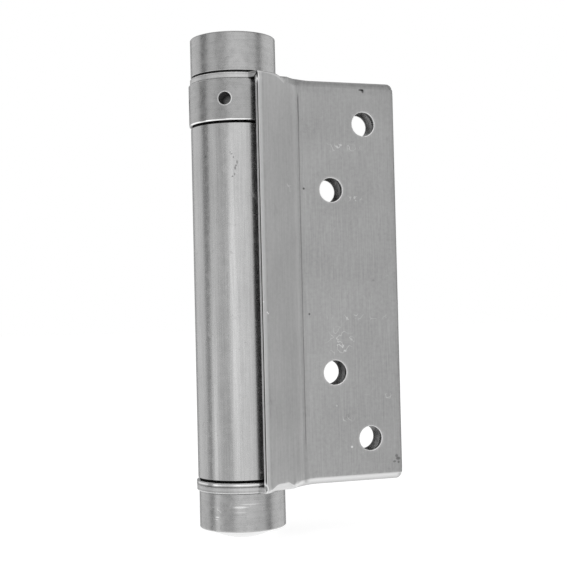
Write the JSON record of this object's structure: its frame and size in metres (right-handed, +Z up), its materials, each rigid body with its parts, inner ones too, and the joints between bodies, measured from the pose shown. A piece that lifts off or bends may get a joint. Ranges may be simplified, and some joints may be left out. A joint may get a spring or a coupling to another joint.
{
  "type": "spring hinge",
  "caption": "Single-action spring hinge with two punched sheet leaves, a rolled barrel holding a torsion spring, a tension collar with bar holes and cylindrical end caps",
  "frame": {"origin": "middle of the frame leaf's outer face, between its four screw holes, at half the leaf height", "axes": "+Z up along the pin, +X from the pin towards the free edges of the leaves, -Y out of the frame leaf's outer face"},
  "size_m": [0.0516, 0.0248, 0.1228],
  "materials": {
    "leaf_steel": "stainless sheet with a fine satin grain along the pin",
    "turned_steel": "stainless bar, fine turned",
    "spring_steel": "oiled spring wire",
    "nylon": "moulded black nylon"
  },
  "bodies": {
    "frame": {"frame_leaf": "leaf_steel", "spindle": "turned_steel", "top_cap": "turned_steel", "bottom_cap": "turned_steel", "thrust_ring": "turned_steel"},
    "door": {"door_leaf": "leaf_steel", "anchor_plug": "turned_steel", "anchor_pin": "turned_steel", "lower_bush": "nylon", "upper_bush": "nylon", "torsion_spring": "spring_steel"},
    "collar": {"tension_collar": "turned_steel", "collar_bush": "nylon"}
  },
  "joints": [
    {"name": "door_swing", "type": "hinge", "parent": "frame", "child": "door", "pos_m": [-0.0274, 0.0065, 0], "axis": [0, 0, 1], "range_deg": [0, 180], "stiffness_Nm_per_rad": 0.85, "deforming": ["torsion_spring"]},
    {"name": "collar_wind", "type": "hinge", "parent": "frame", "child": "collar", "pos_m": [-0.0274, 0.0065, 0], "axis": [0, 0, 1], "range_deg": [-288, 0], "deforming": ["torsion_spring"]}
  ]
}
